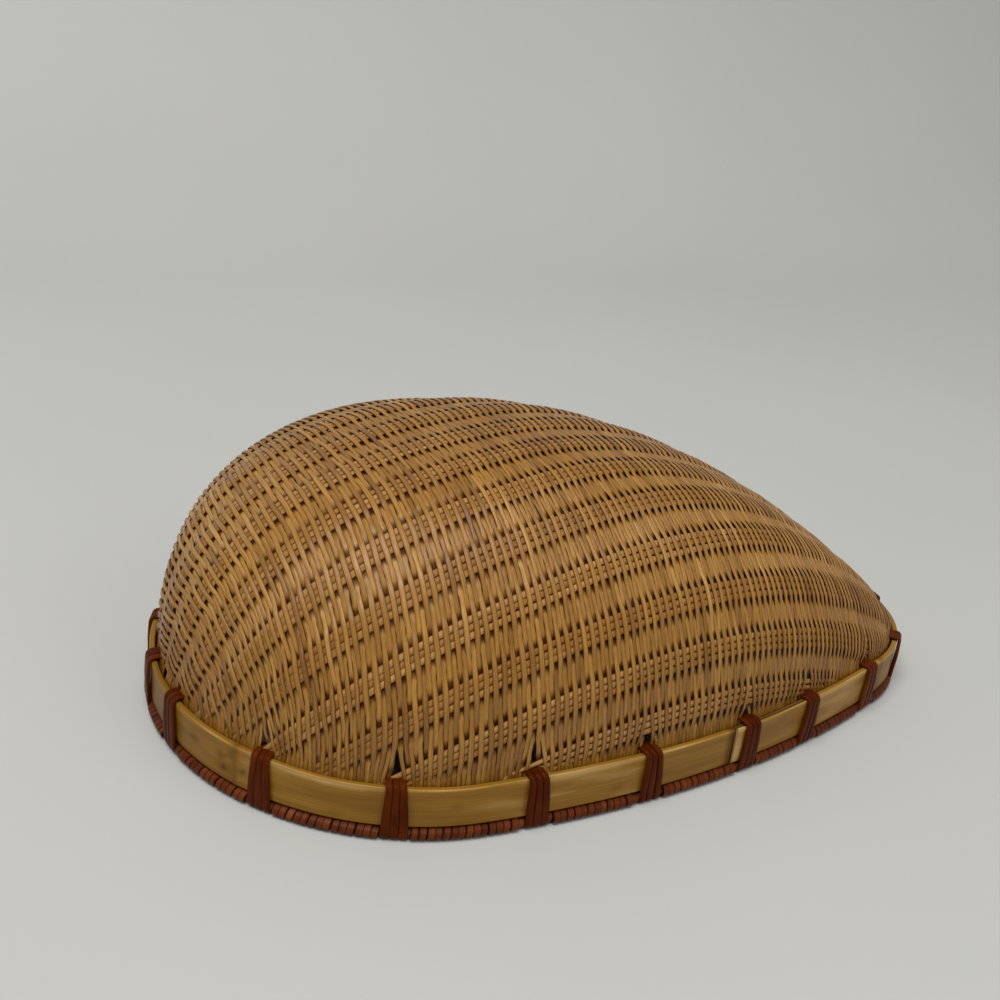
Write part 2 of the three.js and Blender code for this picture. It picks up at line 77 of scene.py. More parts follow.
def rimPoint(distance, inset, z):
    angle = rimAngle(distance)
    turn = np.abs(angle)
    onWide = turn > wideTangent
    onFlank = (turn > tipTangent) & ~onWide
    centreX = np.where(onWide, wideCentre, np.where(onFlank, flankCentre, tipCentre))
    radius = np.where(onWide, rim["wideRadius"], np.where(onFlank, rim["flankRadius"], rim["tipRadius"]))
    radius = radius - inset
    x = centreX + radius * np.cos(turn)
    y = np.where(onFlank, -flankDepth, 0) + radius * np.sin(turn)
    return np.stack(np.broadcast_arrays(x, np.where(angle < 0, -y, y), z), -1)


def rimDistance(x, y):
    across = np.abs(y)
    flank = np.arctan2(across + flankDepth, x - flankCentre)
    wideRun = tipArc + flankArc + (np.arctan2(across, x - wideCentre) - wideTangent) * rim["wideRadius"]
    flankRun = tipArc + (flank - tipTangent) * rim["flankRadius"]
    tipRun = np.arctan2(across, x - tipCentre) * rim["tipRadius"]
    run = np.where(flank > wideTangent, wideRun, np.where(flank < tipTangent, tipRun, flankRun))
    return np.where(y < 0, -run, run)


def halfWidth(x, inset):
    wideRim = rim["wideRadius"] - inset
    tipRim = rim["tipRadius"] - inset
    flank = np.sqrt(np.maximum((rim["flankRadius"] - inset)**2 - (x - flankCentre)**2, 0)) - flankDepth
    wide = np.sqrt(np.maximum(wideRim**2 - (x - wideCentre)**2, 0))
    tip = np.sqrt(np.maximum(tipRim**2 - (x - tipCentre)**2, 0))
    return np.where(x < wideCentre + wideRim * math.cos(wideTangent), wide,
                    np.where(x > tipCentre + tipRim * math.cos(tipTangent), tip, flank))


def crestRise(x):
    inset = dome["inset"]
    wideRun = np.clip((crestX - x) / (crestX - wideCentre + rim["wideRadius"] - inset), 0, 1)
    tipRun = np.clip((x - crestX) / (tipCentre + rim["tipRadius"] - inset - crestX), 0, 1)
    along = np.where(x < crestX, (1 - wideRun**dome["wideFall"])**(1 / dome["wideShoulder"]),
                     (1 - tipRun**dome["tipFall"])**(1 / dome["tipShoulder"]))
    return (dome["crestHeight"] - dome["drop"] - hoopTop) * along


def sideShare(x, y):
    return np.clip(np.abs(y) / np.maximum(halfWidth(x, dome["inset"]), 1e-6), 0, 1)


def faceHeight(x, y):
    return hoopTop + crestRise(x) * (1 - sideShare(x, y)**dome["sideFall"])**(1 / dome["sideShoulder"])


def faceLevel(points):
    x, y, z = points[:, 0], points[:, 1], points[:, 2]
    width = np.maximum(halfWidth(x, dome["inset"]), dome["leastSize"])
    rise = np.maximum(crestRise(x), dome["leastSize"])
    return (np.abs(y) / width)**dome["sideFall"] + (np.maximum(z - hoopTop, 0) / rise)**dome["sideShoulder"]


# straight out from the dome, and level beside the rim where the dome ends
def faceNormals(points):
    normals = np.zeros_like(points)
    for axis in range(3):
        step = np.zeros(3)
        step[axis] = dome["slopeStep"]
        normals[:, axis] = faceLevel(points + step) - faceLevel(points - step)
    angle = rimAngle(rimDistance(points[:, 0], points[:, 1]))
    outward = np.stack([np.cos(angle), np.sin(angle), 0 * angle], 1)
    length = np.linalg.norm(normals, axis=1, keepdims=True)
    normals = normals / np.maximum(length, dome["flat"])
    low = (points[:, 2:3] < hoopTop + dome["rimBand"]) | (length < dome["flat"])
    return np.where(low, outward, normals)


def smoothStep(value, low, high):
    share = np.clip((value - low) / (high - low), 0, 1)
    return share * share * (3 - 2 * share)


def runAlong(points):
    return np.concatenate([[0], np.cumsum(np.linalg.norm(np.diff(points, axis=0), axis=1))])


def resample(line, spacing, fewest=3):
    length = runAlong(line)
    count = max(int(math.ceil(length[-1] / spacing)), fewest)
    at = np.linspace(0, length[-1], count + 1)
    return np.stack([np.interp(at, length, line[:, i]) for i in range(3)], 1)


def lineFrame(line, normals):
    tangent = np.gradient(line, axis=0)
    tangent /= np.linalg.norm(tangent, axis=1, keepdims=True)
    side = np.cross(tangent, normals)
    side /= np.linalg.norm(side, axis=1, keepdims=True)
    return tangent, side, np.cross(side, tangent)


# lengths across the dome from its crest line, by place along the basket and by turn
table = {"rows": 500, "turns": 240, "endGap": 0.02}
halfLength = rim["wideRadius"] - wideCentre - dome["inset"] - table["endGap"]
tableX = np.linspace(-halfLength, halfLength, table["rows"])
tableTurn = np.linspace(0, math.pi / 2, table["turns"])
tableWidth = halfWidth(tableX, dome["inset"])[:, None] * np.sin(tableTurn)**(2 / dome["sideFall"])
tableRise = crestRise(tableX)[:, None] * np.cos(tableTurn)**(2 / dome["sideShoulder"])
tableStep = np.hypot(np.diff(tableWidth, axis=1), np.diff(tableRise, axis=1))
tableAcross = np.concatenate([np.zeros((len(tableX), 1)), np.cumsum(tableStep, axis=1)], 1)


def tableRow(x):
    last = len(tableX) - 1
    return np.clip((x - tableX[0]) / (tableX[-1] - tableX[0]) * last, 0, last - 0.001)


def acrossOf(x, y):
    column = np.arcsin(sideShare(x, y)**(dome["sideFall"] / 2)) / (math.pi / 2) * (len(tableTurn) - 1)
    row = tableRow(x)
    r = row.astype(int)
    c = np.minimum(column.astype(int), len(tableTurn) - 2)
    rowShare = row - r
    columnShare = column - c
    first = tableAcross[r, c] * (1 - columnShare) + tableAcross[r, c + 1] * columnShare
    second = tableAcross[r + 1, c] * (1 - columnShare) + tableAcross[r + 1, c + 1] * columnShare
    return np.sign(y) * (first * (1 - rowShare) + second * rowShare)


# carries a line on down between the hoops from where it reaches the rim
tuck = {"inset": 4.7, "lookBack": 4, "leastFall": 0.05, "mostSlope": 2, "start": 0.6, "points": 8}


def tuckEnd(line, height):
    end = line[-1]
    before = line[-tuck["lookBack"]]
    place = rimDistance(end[0], end[1])
    run = wrapDistance(place - rimDistance(before[0], before[1]))
    fall = max(before[2] - end[2], tuck["leastFall"])
    slope = np.clip(run / fall, -tuck["mostSlope"], tuck["mostSlope"])
    down = np.linspace(tuck["start"], end[2] - height, tuck["points"])
    tail = rimPoint(place + slope * down, tuck["inset"], end[2] - down)
    return np.concatenate([line, tail])


def tuckBothEnds(line, height):
    line = tuckEnd(line, height)
    return tuckEnd(line[::-1], height)[::-1]


# slow uneven swell along a strand or a cane
swell = {"scales": (1.0, 0.53, 0.29), "phase": 6.3, "peak": 1.5}


def slowWave(count, step, wave):
    at = np.arange(count) * step
    total = np.zeros(count)
    for scale in swell["scales"]:
        total += scale * np.sin(at / (wave * scale) * 2 * math.pi + rng.uniform(0, swell["phase"]))
    return total / swell["peak"]


# meshes of tubes: each tube is an array of rings of points in millimetres
millimetre = 0.001
fibreShift = 900   # each tube starts at its own place in the fibre pattern


def tubeQuads(rings, closed):
    count, sides = rings.shape[:2]
    middle = rings.mean(1)
    loop = rings[count // 2]
    length = runAlong(middle)
    girth = runAlong(np.concatenate([loop, loop[:1]]))
    spans = count if closed else count - 1
    i = np.repeat(np.arange(spans), sides)
    j = np.tile(np.arange(sides), spans)
    following = (i + 1) % count
    side = (j + 1) % sides
    quads = [i * sides + j, following * sides + j, following * sides + side, i * sides + side]
    seam = length[-1] + np.linalg.norm(middle[0] - middle[-1])
    ends = np.where(i + 1 < count, length[following], seam)
    shift = rng.uniform(0, fibreShift)
    us = np.stack([length[i], ends, ends, length[i]], 1) + shift
    vs = np.stack([girth[j], girth[j], girth[j + 1], girth[j + 1]], 1) + shift
    return np.stack(quads, 1), np.stack([us, vs], -1)


def tubeCaps(tubes, starts, flipped):
    caps = []
    for rings, start in zip(tubes, starts):
        count, sides = rings.shape[:2]
        first = list(range(start, start + sides))
        last = list(range(start + (count - 1) * sides, start + count * sides))
        caps += [first[::-1], last] if flipped else [first, last[::-1]]
    return caps


def makeTubes(name, tubes, tones, depths, closed=False):
    starts = [0]
    for rings in tubes:
        starts.append(starts[-1] + rings.shape[0] * rings.shape[1])
    made = [tubeQuads(rings, closed) for rings in tubes]
    points = np.concatenate([rings.reshape(-1, 3) for rings in tubes])
    faces = np.concatenate([quads + start for (quads, _), start in zip(made, starts)])
    uv = np.concatenate([spread for _, spread in made])
    a, b, c, d = (points[faces[:, k]] for k in range(4))
    volume = np.einsum("ij,ij->i", a, np.cross(b, c)).sum() + np.einsum("ij,ij->i", a, np.cross(c, d)).sum()
    flipped = volume < 0
    if flipped:   # turned, so that the faces point outwards
        faces = faces[:, ::-1]
        uv = uv[:, ::-1]
    caps = [] if closed else tubeCaps(tubes, starts, flipped)
    mesh = bpy.data.meshes.new(name)
    mesh.from_pydata((points * millimetre).tolist(), [], faces.tolist() + caps)
    layer = mesh.uv_layers.new(name="fibre")
    flat = np.zeros((len(mesh.loops), 2), np.float32)
    flat[:len(faces) * 4] = uv.reshape(-1, 2)
    layer.data.foreach_set("uv", flat.ravel())
    for key, values in (("tone", tones), ("depth", depths)):
        attribute = mesh.attributes.new(key, "FLOAT", "POINT")
        attribute.data.foreach_set("value", np.concatenate(values).astype(np.float32))
    piece = bpy.data.objects.new(name, mesh)
    bpy.context.scene.collection.objects.link(piece)
    mesh.update()
    return piece


def smoothPiece(piece, degrees):
    bpy.ops.object.select_all(action="DESELECT")
    piece.select_set(True)
    bpy.context.view_layer.objects.active = piece
    bpy.ops.object.shade_smooth_by_angle(angle=math.radians(degrees))


def placePiece(piece, nodes, material):
    piece.data.materials.append(material)
    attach(piece, "root")
    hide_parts(*nodes)


# colours are given as they look on a screen
def lightLevel(level):
    return level / 12.92 if level <= 0.04045 else ((level + 0.055) / 1.055)**2.4


def tint(red, green, blue):
    return tuple(lightLevel(c / 255) for c in (red, green, blue)) + (1.0,)


def addNode(tree, kind, **values):
    node = tree.nodes.new(kind)
    for key, value in values.items():
        setattr(node, key, value)
    return node


def addNoise(tree, uv, scale, detail):
    place = addNode(tree, "ShaderNodeMapping")
    place.inputs["Scale"].default_value = scale
    tree.links.new(uv.outputs[0], place.inputs[0])
    noise = addNode(tree, "ShaderNodeTexNoise", noise_dimensions="2D")
    noise.inputs["Scale"].default_value = 1.0
    noise.inputs["Detail"].default_value = detail
    tree.links.new(place.outputs[0], noise.inputs["Vector"])
    return noise.outputs["Fac"]


def addRange(tree, value, given, made):
    node = addNode(tree, "ShaderNodeMapRange")
    for key, level in zip(("From Min", "From Max", "To Min", "To Max"), given + made):
        node.inputs[key].default_value = level
    tree.links.new(value, node.inputs["Value"])
    return node.outputs[0]


# split bamboo and cane: tone and mottling choose the colour, fibres streak it, and the depth value mixes in a
# dark colour: painted shade in deep places and under other parts, and on the hoops also their own spots and
# nodes
grain = {"fibreDetail": 4.0, "mottleDetail": 3.0, "streakFrom": (0.3, 0.7), "brightShare": 0.6,
         "reliefHeight": 0.0002}


def addRamp(tree, value, stops):
    ramp = addNode(tree, "ShaderNodeValToRGB")
    elements = ramp.color_ramp.elements
    while len(elements) < len(stops):
        elements.new(0.5)
    for element, (position, colour) in zip(elements, stops):
        element.position = position
        element.color = tint(*colour)
    tree.links.new(value, ramp.inputs[0])
    return ramp.outputs[0]


def fibreMaterial(name, look):
    material = bpy.data.materials.new(name)
    material.use_nodes = True
    tree = material.node_tree
    link = tree.links.new
    shader = tree.nodes["Principled BSDF"]
    uv = addNode(tree, "ShaderNodeUVMap", uv_map="fibre")
    fibre = addNoise(tree, uv, look["fibreScale"], grain["fibreDetail"])
    mottle = addNoise(tree, uv, look["mottleScale"], grain["mottleDetail"])
    tone = addNode(tree, "ShaderNodeAttribute", attribute_name="tone").outputs["Fac"]
    depth = addNode(tree, "ShaderNodeAttribute", attribute_name="depth").outputs["Fac"]
    shifted = addNode(tree, "ShaderNodeMath", operation="SUBTRACT")
    link(tone, shifted.inputs[0])
    shifted.inputs[1].default_value = look["mottle"] / 2
    mottled = addNode(tree, "ShaderNodeMath", operation="MULTIPLY_ADD")
    link(mottle, mottled.inputs[0])
    mottled.inputs[1].default_value = look["mottle"]
    link(shifted.outputs[0], mottled.inputs[2])
    streakEnds = (1 - look["streak"], 1 + look["streak"] * grain["brightShare"])
    streaked = addNode(tree, "ShaderNodeMix", data_type="RGBA", blend_type="MULTIPLY")
    streaked.inputs[0].default_value = 1.0
    link(addRamp(tree, mottled.outputs[0], look["ramp"]), streaked.inputs[6])
    link(addRange(tree, fibre, grain["streakFrom"], streakEnds), streaked.inputs[7])
    # painted shade: the dark colour is mixed into the base colour where the depth value is high
    shadedAndMarked = addNode(tree, "ShaderNodeMix", data_type="RGBA", blend_type="MIX")
    link(depth, shadedAndMarked.inputs[0])
    link(streaked.outputs[2], shadedAndMarked.inputs[6])
    shadedAndMarked.inputs[7].default_value = tint(*look["shadeAndMarkColour"])
    link(shadedAndMarked.outputs[2], shader.inputs["Base Color"])
    link(addRange(tree, mottle, (0.0, 1.0), look["rough"]), shader.inputs["Roughness"])
    link(addRange(tree, depth, (0.0, 1.0), (look["specular"], 0.0)), shader.inputs["Specular IOR Level"])
    bump = addNode(tree, "ShaderNodeBump")
    bump.inputs["Strength"].default_value = look["bump"]
    bump.inputs["Distance"].default_value = grain["reliefHeight"]
    link(fibre, bump.inputs["Height"])
    link(bump.outputs[0], shader.inputs["Normal"])
    return material


weaveLook = {"fibreScale": (0.05, 4.5, 1), "mottleScale": (0.03, 0.12, 1), "mottle": 0.64, "streak": 0.34,
             "ramp": [(0.0, (110, 66, 10)), (0.3, (144, 97, 30)), (0.6, (170, 120, 46)),
                      (0.85, (195, 146, 76)), (1.0, (218, 174, 116))],
             "shadeAndMarkColour": (62, 15, 3), "rough": (0.24, 0.42), "specular": 0.52, "bump": 0.7}
ribLook = {"fibreScale": (0.05, 4.0, 1), "mottleScale": (0.05, 0.3, 1), "mottle": 0.6, "streak": 0.24,
           "ramp": [(0.0, (118, 72, 22)), (0.5, (158, 109, 48)), (1.0, (194, 148, 92))],
           "shadeAndMarkColour": (56, 16, 4), "rough": (0.4, 0.6), "specular": 0.25, "bump": 0.5}
hoopLook = {"fibreScale": (0.02, 2.2, 1), "mottleScale": (0.025, 0.16, 1), "mottle": 0.8, "streak": 0.14,
            "ramp": [(0.0, (100, 62, 10)), (0.35, (126, 86, 20)), (0.65, (144, 103, 32)),
                     (1.0, (192, 156, 96))],
            "shadeAndMarkColour": (58, 26, 6), "rough": (0.32, 0.5), "specular": 0.2, "bump": 0.35}
caneLook = {"fibreScale": (0.06, 3.6, 1), "mottleScale": (0.05, 0.25, 1), "mottle": 0.7, "streak": 0.22,
            "ramp": [(0.0, (78, 27, 3)), (0.4, (112, 46, 8)), (0.75, (140, 67, 16)), (1.0, (172, 106, 52))],
            "shadeAndMarkColour": (40, 10, 2), "rough": (0.22, 0.4), "specular": 0.09, "bump": 0.5}
lipLook = dict(caneLook)   # the lip's copy of the cane colours is darker: painted shade against the light the floor throws up on it
lipLook["ramp"] = [(0.0, (66, 26, 8)), (0.4, (92, 42, 16)), (0.75, (112, 56, 24)), (1.0, (146, 92, 52))]
weaveMaterial = fibreMaterial("splitBamboo", weaveLook)
ribMaterial = fibreMaterial("bambooSticks", ribLook)
hoopMaterial = fibreMaterial("hoopBamboo", hoopLook)
caneMaterial = fibreMaterial("darkCane", caneLook)
lipMaterial = fibreMaterial("lipCane", lipLook)
print("materials done")

# ribs: bundles of three sticks that the strands pass over and under
ribs = {"spacing": 18.4, "first": -2.5, "inFront": 7, "behind": 7,
        "lean": 0.41, "bendFromWide": -30.0, "bendLength": 30.0,   # they bend to the back towards the tip
        "sticks": 3, "stickWidth": 2.38, "stickThickness": 0.95, "stickPitch": 2.4, "stickSides": 8,
        "finePoints": 1500, "endCrowding": 2.5, "step": 2.2, "tuckHeight": 9.0, "smooth": 60,
        "endWidth": 0.75, "narrowBelow": 2, "fullAbove": 8, "widths": (0.92, 1.02),
        "sway": 0.12, "swayRate": 0.21, "swayPhase": 6, "tones": (0.4, 0.8),
        "tipDarker": 0.3, "tipDarkFrom": 0, "tipDarkTo": 100,
        "shade": 0.92, "shadeFrom": -0.8, "shadeTo": 0.1}   # painted shade on the flanks and underside of a stick


def ribRun(x):
    bend = np.log(1 + np.exp((x - wideCentre - ribs["bendFromWide"]) / ribs["bendLength"]))
    return ribs["lean"] * ribs["bendLength"] * bend


# a whole number on a rib, by place along and across the dome
def ribPhase(x, across):
    return (across - ribs["first"] - ribRun(x) + ribRun(crestX)) / ribs["spacing"]


def stickLine(offset):
    share = np.linspace(0, 1, ribs["finePoints"])
    x = tableX[0] + (tableX[-1] - tableX[0]) * share**ribs["endCrowding"]
    across = offset + ribRun(x) - ribRun(crestX)
    line = []
    for place, reach, row in zip(x, across, tableRow(x)):
        r = int(row)
        lengths = tableAcross[r] * (1 - row + r) + tableAcross[r + 1] * (row - r)
        if abs(reach) < lengths[-1]:
            turn = np.interp(abs(reach), lengths, tableTurn)
            y = np.sign(reach) * halfWidth(place, dome["inset"]) * math.sin(turn)**(2 / dome["sideFall"])
            z = hoopTop + crestRise(place) * math.cos(turn)**(2 / dome["sideShoulder"])
            line.append((place, float(y), float(z)))
    return resample(tuckBothEnds(np.array(line), ribs["tuckHeight"]), ribs["step"])


stickTurns = np.linspace(0, 2 * math.pi, ribs["stickSides"], endpoint=False)
stickShade = ribs["shade"] * smoothStep(-np.sin(stickTurns), ribs["shadeFrom"], ribs["shadeTo"])


def stickRings(line):
    _, side, lift = lineFrame(line, faceNormals(line))
    full = smoothStep(line[:, 2], hoopTop - ribs["narrowBelow"], hoopTop + ribs["fullAbove"])
    thin = ribs["endWidth"] + (1 - ribs["endWidth"]) * full
    sway = np.arange(len(line)) * ribs["swayRate"] + rng.uniform(0, ribs["swayPhase"])
    sway = ribs["sway"] * np.sin(sway)
    width = ribs["stickWidth"] * rng.uniform(*ribs["widths"]) / 2
    rings = []
    for turn in stickTurns:
        across = width * math.cos(turn) * thin + sway
        up = ribs["stickThickness"] / 2 * math.sin(turn) * thin
        rings.append(line + side * across[:, None] + lift * up[:, None])
    return np.stack(rings, 1)


for number in range(ribs["inFront"] + ribs["behind"] + 1):
    tubes = []
    tones = []
    depths = []
    middle = ribs["first"] + (number - ribs["inFront"]) * ribs["spacing"]
    for stick in range(ribs["sticks"]):
        line = stickLine(middle + (stick - 1) * ribs["stickPitch"])
        tubes.append(stickRings(line))
        towardsTip = smoothStep(line[:, 0], ribs["tipDarkFrom"], ribs["tipDarkTo"])
        tone = rng.uniform(*ribs["tones"]) - ribs["tipDarker"] * towardsTip
        tones.append(np.repeat(tone, ribs["stickSides"]))
        depths.append(np.tile(stickShade, len(line)))
    piece = makeTubes("ribSticks%02d" % (number + 1), tubes, tones, depths)
    smoothPiece(piece, ribs["smooth"])
    placePiece(piece, ["rib_%02d" % (number + 1)], ribMaterial)
print("ribs done")

# lashings: three turns of flat cane over hoops and lip; the strands part above them, so they are placed first
lashing = {"shifts": [0, -1.5, -8, -7, -14, -9.5, -6, 1, 6, 11, 0],   # from even places, tip to wide end
           "turns": 3, "pitch": 2.75, "width": 2.72, "thickness": 1.1, "outer": 0.75, "inner": 8.5,
           "top": 19.9, "bottom": 0.62, "corner": 1.3, "cornerCut": 0.3, "slant": 0.05,
           "waist": 0.3, "waistHeight": 12.0, "startHeight": 10.0, "endHeight": 9.0, "step": 0.7,
           "gather": 0.82, "gatherFrom": 6.0, "gatherTo": 20.0, "leanHeight": 10, "lean": 0.06,
           "sway": 0.1, "swayRate": 0.11, "swayPhase": 6, "pitches": (0.94, 1.02), "widths": (0.94, 1.04),
           "tones": (0.35, 0.6), "toneDrift": 0.12, "driftLength": 30.0, "smooth": 60,
           "section": [(1, -0.3), (0.92, 0.5), (0.55, 1), (-0.55, 1), (-0.92, 0.5), (-1, -0.3),
                       (-0.7, -1), (0.7, -1)],
           "shades": (0.6, 0.05, 0, 0, 0.05, 0.6, 0.6, 0.6)}
lashingSpans = len(lashing["shifts"]) - 1
backLashings = [i * halfRim / lashingSpans + shift for i, shift in enumerate(lashing["shifts"])]
lashingPlaces = np.array(backLashings + [-d for d in backLashings[1:-1]][::-1])

# weave: split strands across the dome, over one rib and under the next
weave = {"skew": (-0.023, -0.045, -0.095, -0.173, -0.177, -0.084, 0.064, 0.177),
         "bow": (0.0048, 0.0021, 0.0004, -0.0005, -0.0004, 0.0014, 0.0024, 0.0031),
         "markOffsets": (0, 20, 40, 60, 80, 120), "tipMark": 10,
         "middleShares": (0, 0.3, 0.8, 1), "middles": (-12.8, -8, 2, -7.1),
         "pitchPlaces": (40, 78, 92, 114, 138, 160, 186, 250, 300, 345),
         "pitches": (1.5, 1.6, 1.48, 1.47, 1.36, 1.42, 1.68, 1.66, 1.5, 1.34),
         "firstHeight": 1.2, "lastGap": 0.8, "pastWide": 0.15, "pastTip": 0.65, "rimGap": 0.002,
         "placePoints": 6000, "linePoints": 220, "rimStep": 1.0, "rimHalvings": 30, "step": 1.5,
         "tuckHeight": 8.0, "thickness": 0.5, "thicknesses": (0.9, 1.1), "corner": 0.76,
         "cornerUnder": 0.34, "cornerOver": 0.16, "room": (0.6, 2.8), "widths": (0.99, 1.02),
         "underWidth": 0.55, "underFull": 4.5, "underEnd": 9.2, "overWidth": 0.22,
         "tipWider": 0.5, "tipFrom": 50, "tipTo": 110,
         "lift": 0.72, "flatness": 0.93, "hold": 3.2, "level": 8.0, "waistEnd": 8.4,
         "rimLift": 0.2, "riseFrom": -1, "riseTo": 6,
         "liftDrift": 0.1, "phaseDrift": 0.02, "widthDrift": 0.02,
         "phaseLength": 40.0, "liftLength": 55.0, "widthLength": 70.0, "toneLength": 90.0,
         "wander": 0.1, "wideWander": 0.2, "wanderLengths": (24, 46), "wideFrom": -55, "wideTo": 30,
         "spread": 2.2, "spreadCore": 0.7, "spreadHeight": 12.0, "spreadReach": 6.5,
         "crowdNarrow": 0.28, "rimNarrow": 0.06,
         "tone": 0.52, "toneSpread": 0.08, "toneDrift": 0.1, "toneEnds": (0.2, 0.8),
         "rimDarker": 0.17, "rimDarkFrom": 20, "rimDarkTo": 62,
         "crestDarker": 0.1, "crestDarkFrom": 76, "crestDarkTo": 100,
         "underShade": 0.88, "shadeFrom": 0.35, "shadeTo": 0.75, "darkest": 0.92,
         "edgeShade": 0.24, "edgeUnder": 0.66, "edgeOver": 0.62, "insideShade": 0.7,
         "pieces": ("weaveWide", "weaveMiddle", "weaveTip"), "smooth": 75}

# lean and bow of the strands differ from the wide end to the tip
strandMarks = [tableX[0] + offset for offset in weave["markOffsets"]]
strandMarks += [tipCentre - weave["tipMark"], tableX[-1]]


def strandBend(x0, y):
    return np.interp(x0, strandMarks, weave["skew"]) * y + np.interp(x0, strandMarks, weave["bow"]) * y * y


def insideRim(x0, y):
    return np.abs(y) < halfWidth(x0 + strandBend(x0, y), dome["inset"])


def rimEnd(x0, start, direction):
    low, high = 0.0, 0.0
    while insideRim(x0, start + direction * high):
        low = high
        high += weave["rimStep"]
    for _ in range(weave["rimHalvings"]):
        middle = (low + high) / 2
        if insideRim(x0, start + direction * middle):
            low = middle
        else:
            high = middle
    return start + direction * low


def strandMiddle(x0):
    share = (x0 - tableX[0]) / (tableX[-1] - tableX[0])
    return np.interp(share, weave["middleShares"], weave["middles"])


def strandLine(x0):
    start = float(strandMiddle(x0))
    reach = np.sin(np.linspace(0, math.pi / 2, weave["linePoints"]))**(2 / dome["sideFall"])
    front = start + (rimEnd(x0, start, -1) - start) * reach
    back = start + (rimEnd(x0, start, 1) - start) * reach
    y = np.concatenate([front[::-1], back[1:]])
    x = x0 + strandBend(x0, y)
    line = np.stack([x, y, faceHeight(x, y)], 1)
    return resample(tuckBothEnds(line, weave["tuckHeight"]), weave["step"])


# places of the strands along the middle of the dome, each stretch with its own pitch
fineShare = smoothStep(np.linspace(0, 1, weave["placePoints"]), 0, 1)   # finest at the ends
fineSpan = tableX[-1] - tableX[0] + weave["pastWide"] + weave["pastTip"]
fineX = tableX[0] - weave["pastWide"] + fineSpan * fineShare
fineY = strandMiddle(fineX)
fineFace = fineX + strandBend(fineX, fineY)
kept = np.abs(fineY) < halfWidth(fineFace, dome["inset"]) - weave["rimGap"]
fineX, fineY, fineFace = fineX[kept], fineY[kept], fineFace[kept]
fineZ = faceHeight(fineFace, fineY)
fineLength = fineZ[0] - hoopTop + runAlong(np.stack([fineFace, fineY, fineZ], 1))
strandPlaces = []
at = weave["firstHeight"]
while at < fineLength[-1] - weave["lastGap"]:
    if at >= fineLength[0]:
        strandPlaces.append(float(np.interp(at, fineLength, fineX)))
    at += np.interp(at, weave["pitchPlaces"], weave["pitches"])
strandLines = [strandLine(x0) for x0 in strandPlaces]
print("strands", len(strandPlaces))

# a lashing parts the two strands whose ends are nearest to it, midway between them
rimEnds = np.concatenate([rimDistance(line[[0, -1], 0], line[[0, -1], 1]) for line in strandLines])
rimEnds = np.sort(rimEnds)
partings = []
for centre in lashingPlaces - lashing["pitch"] / 4:
    nearest = np.argsort(np.abs(wrapDistance(rimEnds - centre)))[:2]
    partings.append(centre + np.mean(wrapDistance(rimEnds[nearest] - centre)))


# room that a strand has between its neighbours, at each of its points
def strandRoom(index, tangent):
    line = strandLines[index]
    rooms = []
    for other in (index - 1, index + 1):
        if 0 <= other < len(strandLines):
            between = strandLines[other][None] - line[:, None]
            nearest = between[np.arange(len(line)), np.argmin((between**2).sum(2), 1)]
            nearest = nearest - tangent * np.einsum("ij,ij->i", nearest, tangent)[:, None]
            rooms.append(np.linalg.norm(nearest, axis=1))
    return np.mean(rooms, 0)


# one over a rib, minus one under the next, and level between them
def ribWave(phase, parity):
    nearest = np.round(phase)
    away = np.abs(phase - nearest) * ribs["spacing"]
    held = 1 - smoothStep(away, weave["hold"], weave["level"])
    drawn = 1 - smoothStep(away, weave["hold"], weave["waistEnd"])
    side = parity * np.where(nearest % 2 == 0, 1, -1)
    under = weave["underWidth"] * (1 - smoothStep(away, weave["underFull"], weave["underEnd"]))
    wider = np.where(side < 0, under, weave["overWidth"] * held)
    swing = (1 - weave["flatness"]) * np.cos(math.pi * (phase - nearest))
    return side * (weave["flatness"] * held + swing), wider, drawn, side < 0


# how far lashings push a strand aside, and how they crowd it, near the rim
def lashingPush(line, tangent):
    place = rimDistance(line[:, 0], line[:, 1])
    angle = rimAngle(place)
    along = np.stack([-np.sin(angle), np.cos(angle), 0 * angle], 1)
    upright = 1 - np.einsum("ij,ij->i", tangent, along)**2
    near = np.clip(1 - (line[:, 2] - hoopTop) / weave["spreadHeight"], 0, 1)
    push = np.zeros(len(line))
    crowd = np.zeros(len(line))
    for centre in partings:
        offset = wrapDistance(place - centre)
        fade = np.exp(-(offset / weave["spreadReach"])**2)
        push += weave["spread"] * np.tanh(offset / weave["spreadCore"]) * fade
        crowd += fade
    return along * (push * near * upright)[:, None], crowd * near * upright, near


def flatRings(line, normals, width, thickness, corner):
    _, side, lift = lineFrame(line, normals)
    rings = []
    for across, up in [(1, 0), (corner, 1), (-corner, 1), (-1, 0), (-corner, -1), (corner, -1)]:
        rings.append(line + side * (width / 2 * across)[:, None] + lift * (thickness / 2 * up)[:, None])
    return np.stack(rings, 1)


